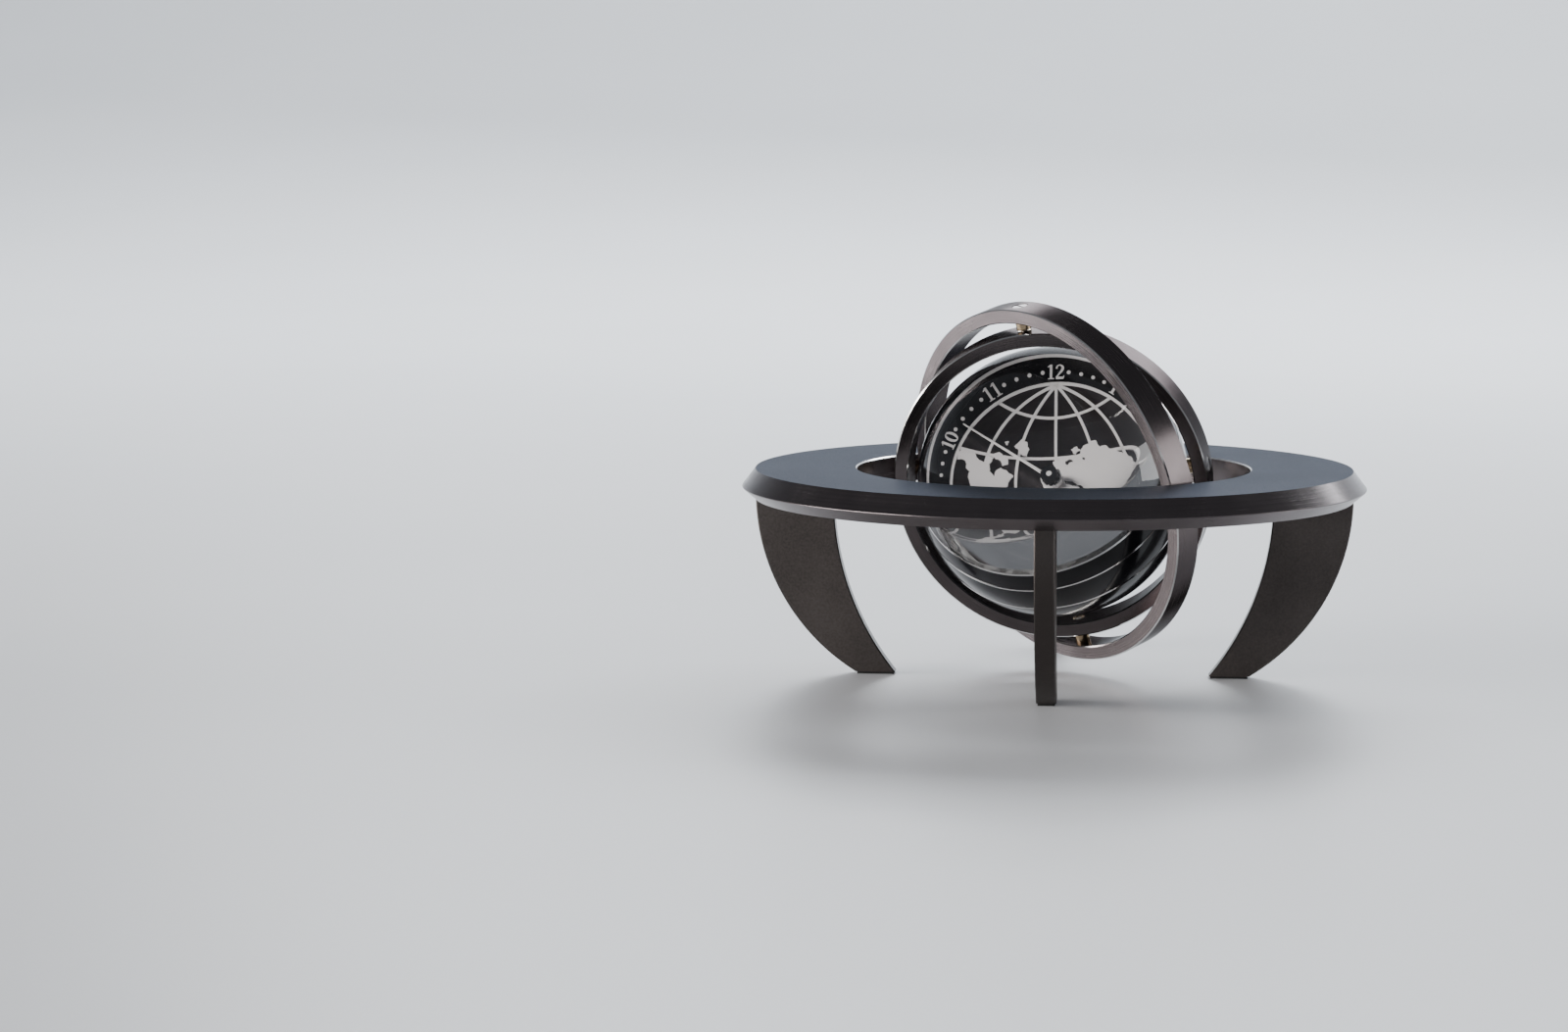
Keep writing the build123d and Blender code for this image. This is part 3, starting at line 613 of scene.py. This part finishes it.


# World map: outlines listed in dial millimetres, roughened into coastlines below.
LAND = {
    "north_america": [
        (-15.8, 6.6), (-15.6, 7.6), (-14.6, 8.2), (-12.8, 7.0), (-12.1, 5.9), (-11.3, 5.6), (-10.9, 6.6),
        (-10.0, 6.3), (-10.9, 5.2), (-10.9, 4.0), (-10.2, 3.0), (-9.9, 3.9), (-9.0, 4.4), (-8.2, 3.9),
        (-7.1, 2.7), (-8.0, 1.3), (-9.2, 0.6), (-9.8, -0.6), (-9.6, -1.8), (-10.6, -1.2), (-11.8, -1.4),
        (-11.6, -2.6), (-10.4, -3.2), (-9.8, -4.2), (-10.8, -3.9), (-12.4, -3.0), (-13.6, -1.2),
        (-14.4, 0.6), (-14.3, 2.4), (-14.0, 4.3), (-14.6, 6.2),
    ],
    "arctic_islands": [
        (-10.0, 6.9), (-9.1, 7.1), (-7.8, 6.2), (-7.8, 4.9), (-8.7, 4.7), (-9.1, 5.7), (-9.8, 6.0),
    ],
    "high_island": [(-8.2, 8.7), (-7.5, 8.8), (-7.8, 8.1)],
    "greenland": [
        (-6.7, 7.9), (-6.0, 8.5), (-5.3, 8.9), (-4.6, 8.4), (-4.4, 7.4), (-4.7, 5.9), (-5.2, 6.1),
        (-6.0, 6.9),
    ],
    "south_america": [
        (-9.8, -4.2), (-8.2, -3.6), (-6.6, -4.6), (-4.8, -6.2), (-5.2, -8.0), (-6.4, -9.4), (-7.2, -11.0),
        (-7.8, -12.8), (-8.4, -13.6), (-8.6, -12.0), (-8.9, -9.6), (-9.8, -7.2), (-10.4, -5.6),
    ],
    "eurasia": [
        (-0.5, 4.7), (0.8, 5.2), (2.5, 5.5), (4.1, 5.9), (4.5, 7.1), (5.5, 7.4), (5.8, 7.9), (6.7, 8.0),
        (7.4, 6.9), (8.4, 7.1), (9.5, 6.4), (11.0, 6.1), (12.8, 5.6), (13.6, 4.6), (12.5, 3.9), (12.7, 2.2),
        (11.6, 1.2), (11.2, -0.4), (10.0, -0.8), (9.6, -2.2), (9.0, -2.6), (8.6, -1.4), (7.6, -1.0),
        (7.0, -2.7), (6.4, -1.2), (5.4, -0.5), (4.8, -1.8), (3.5, -1.5), (2.9, 0.3), (1.8, 0.7), (0.6, 0.8),
        (0.1, 1.2), (0.7, 2.0), (0.7, 3.1), (-0.1, 3.7),
    ],
    "northern_cape": [(2.5, 6.6), (3.5, 7.1), (4.2, 6.4), (3.2, 5.7)],
    "africa": [
        (-0.8, -0.1), (0.4, 0.3), (1.8, -0.1), (2.8, -0.4), (3.6, -1.8), (4.8, -3.4), (4.0, -5.2),
        (3.6, -7.0), (2.6, -9.0), (1.4, -9.6), (0.8, -7.6), (0.6, -5.2), (-0.8, -4.4), (-2.6, -4.2),
        (-3.4, -2.8), (-2.2, -1.0),
    ],
    "madagascar": [(4.7, -5.8), (5.2, -5.3), (5.1, -7.0), (4.6, -7.2)],
    "indies": [(9.4, -3.4), (10.6, -3.2), (11.8, -4.0), (10.6, -4.1)],
    "australia": [
        (9.2, -5.6), (10.4, -4.8), (11.2, -5.4), (11.8, -4.9), (12.4, -6.6), (11.4, -8.3), (10.0, -7.9),
        (8.8, -7.1),
    ],
    "far_islands": [(12.9, -8.6), (13.3, -8.4), (12.6, -9.9), (12.2, -9.7)],
    "eastern_islands": [(13.4, 3.3), (13.8, 2.9), (13.3, 1.6), (12.9, 1.7)],
}
SEAS = {
    "inner_sea": [(1.6, 4.6), (2.7, 4.8), (2.9, 4.5), (2.2, 4.4), (2.0, 4.0), (1.6, 4.2)],
    "lake": [(4.4, 5.1), (4.8, 5.1), (4.8, 4.7), (4.5, 4.8)],
    "western_sea": [(0.9, 0.9), (2.6, 0.6), (4.2, 0.2), (4.3, 0.5), (2.8, 1.1), (1.4, 1.4)],
}
COAST_ROUGHNESS = 0.16      # how far a coast wanders, for each unit of the side it breaks up
COAST_STEPS = 4
COAST_SEED = 12


def coast(outline, rng):
    """The outline with every side broken up into a wandering coast."""
    loop = outline
    for _ in range(COAST_STEPS):
        finer = []
        for (ax, ay), (bx, by) in zip(loop, loop[1:] + loop[:1]):
            shift = rng.uniform(-COAST_ROUGHNESS, COAST_ROUGHNESS)
            finer += [(ax, ay), ((ax + bx) / 2 - (by - ay) * shift, (ay + by) / 2 + (bx - ax) * shift)]
        loop = finer
    return loop


def world_map():
    """Land printed over the graticule, with its inland seas printed dark on top."""
    rng = random.Random(COAST_SEED)
    land = [coast(outline, rng) for outline in LAND.values()]
    seas = [coast(outline, rng) for outline in SEAS.values()]
    printed("dial_map_land", land, PLATE_TOP, thickness=LAND_THICKNESS)
    printed("dial_map_seas", seas, PLATE_TOP, material=dial_grey, thickness=SEA_THICKNESS)


hour_ring()
graticule()
world_map()


# ---------------------------------------------------------------- studio
FLOOR_HALF_WIDTH = 8.0
FLOOR_FRONT = -3.0
FLOOR_BACK = 1.2            # where the floor starts to curve up
SWEEP_R = 4.0
BACKDROP_TOP = 6.0
SWEEP_STEPS = 48
FLOOR_TONES = ((0.72, 0.73, 0.75), (0.77, 0.78, 0.80))

WARM = (1.0, 0.97, 0.94)
WHITE = (1.0, 1.0, 1.0)
COOL = (0.92, 0.96, 1.0)
COOLER = (0.90, 0.95, 1.0)
AIR = (0.88, 0.92, 1.0)
AIR_FILL = 0.16             # strength of the light from all round
AIR_SEEN = 0.62             # and how bright a view sees it past the floor's edge: the floor's own tone


def pale_floor():
    """Floor that curves up into a backdrop far behind the object."""
    profile = [(FLOOR_FRONT, 0.0), (FLOOR_BACK, 0.0)]
    for step in range(1, SWEEP_STEPS + 1):
        turn = math.pi / 2 * step / SWEEP_STEPS
        profile.append((FLOOR_BACK + SWEEP_R * math.sin(turn), SWEEP_R * (1 - math.cos(turn))))
    profile.append((FLOOR_BACK + SWEEP_R, BACKDROP_TOP))
    points = [(x, y, z) for y, z in profile for x in (-FLOOR_HALF_WIDTH, FLOOR_HALF_WIDTH)]
    faces = [(2 * i, 2 * i + 1, 2 * i + 3, 2 * i + 2) for i in range(len(profile) - 1)]
    mesh = bpy.data.meshes.new("floor")
    mesh.from_pydata(points, [], faces)
    for face in mesh.polygons:
        face.use_smooth = True
    shader = Shader("floor_paint")
    cloud = shader.noise(180.0, detail=3.0)
    grain = shader.noise(1.4, detail=2.0)
    mesh.materials.append(
        shader.done(
            shader.principled(
                {
                    "Base Color": shader.between(cloud, *FLOOR_TONES),
                    "Roughness": shader.remap(grain, 0.36, 0.44),
                }
            )
        )
    )
    floor = bpy.data.objects.new("floor", mesh)
    bpy.context.scene.collection.objects.link(floor)


def aimed(place, target):
    """Rotation that points a camera or lamp at place towards target, without roll."""
    return (Vector(target) - Vector(place)).to_track_quat("-Z", "Y").to_euler()


def softbox(name, place, target, size, power, colour, spared=None):
    """Soft area light. It leaves no mirror image of itself on the piece that is spared."""
    lamp = bpy.data.lights.new(name, "AREA")
    lamp.shape = "RECTANGLE"
    lamp.size, lamp.size_y = size
    lamp.energy = power
    lamp.color = colour
    light = bpy.data.objects.new(name, lamp)
    light.location = place
    light.rotation_euler = aimed(place, target)
    bpy.context.scene.collection.objects.link(light)
    if spared:
        kept_off = bpy.data.collections.new(name + "_kept_off")
        kept_off.objects.link(spared)
        kept_off.collection_objects[0].light_linking.link_state = "EXCLUDE"
        light.light_linking.receiver_collection = kept_off


def studio_air():
    """Dim light from all round. A view that looks past the floor's edge sees the floor's pale tone."""
    world = bpy.data.worlds.new("studio")
    world.use_nodes = True
    tree = world.node_tree
    tree.nodes.clear()
    fill, seen = tree.nodes.new("ShaderNodeBackground"), tree.nodes.new("ShaderNodeBackground")
    for background, strength in ((fill, AIR_FILL), (seen, AIR_SEEN)):
        background.inputs["Color"].default_value = (*AIR, 1.0)
        background.inputs["Strength"].default_value = strength
    pick, path = tree.nodes.new("ShaderNodeMixShader"), tree.nodes.new("ShaderNodeLightPath")
    tree.links.new(path.outputs["Is Camera Ray"], pick.inputs[0])
    tree.links.new(fill.outputs[0], pick.inputs[1])
    tree.links.new(seen.outputs[0], pick.inputs[2])
    tree.links.new(pick.outputs[0], tree.nodes.new("ShaderNodeOutputWorld").inputs["Surface"])
    bpy.context.scene.world = world


def studio():
    """Places in metres, sizes as width and height, powers in watts."""
    studio_air()
    dome = nodes["glass_dome"]      # the two strong lights would hide the map behind their own images
    softbox("back_light", (0.3, 1.5, 0.95), CENTRE, (2.0, 0.5), 38.0, COOL, spared=dome)
    softbox("left_light", (-1.5, -0.4, 0.3), CENTRE, (1.4, 0.5), 46.0, WARM, spared=dome)
    softbox("right_light", (1.2, 0.1, 0.3), CENTRE, (0.6, 0.5), 5.0, WHITE)
    softbox("backdrop_light", (0.5, 1.2, 2.2), (0.5, 4.0, 0.6), (2.5, 1.5), 135.0, COOLER)


pale_floor()
studio()

# ---------------------------------------------------------------- camera
CAMERA_PLACE = Vector((0.0263, -1.0178, 0.1566))
CAMERA_TURN = 5.38          # degrees left of straight ahead, so that the clock stands right of the middle
CAMERA_DIP = 6.47           # degrees below the horizon
LENS = 91.1                 # millimetres, and so is the sensor's width
SENSOR_WIDTH = 36.0
NEAREST, FARTHEST = 0.01, 50.0

camera = bpy.data.objects.new("camera", bpy.data.cameras.new("camera"))
camera.data.sensor_width = SENSOR_WIDTH
camera.data.lens = LENS
camera.data.clip_start, camera.data.clip_end = NEAREST, FARTHEST
camera.location = CAMERA_PLACE
camera.rotation_euler = (math.radians(90 - CAMERA_DIP), 0, math.radians(CAMERA_TURN))
bpy.context.scene.collection.objects.link(camera)
bpy.context.scene.camera = camera
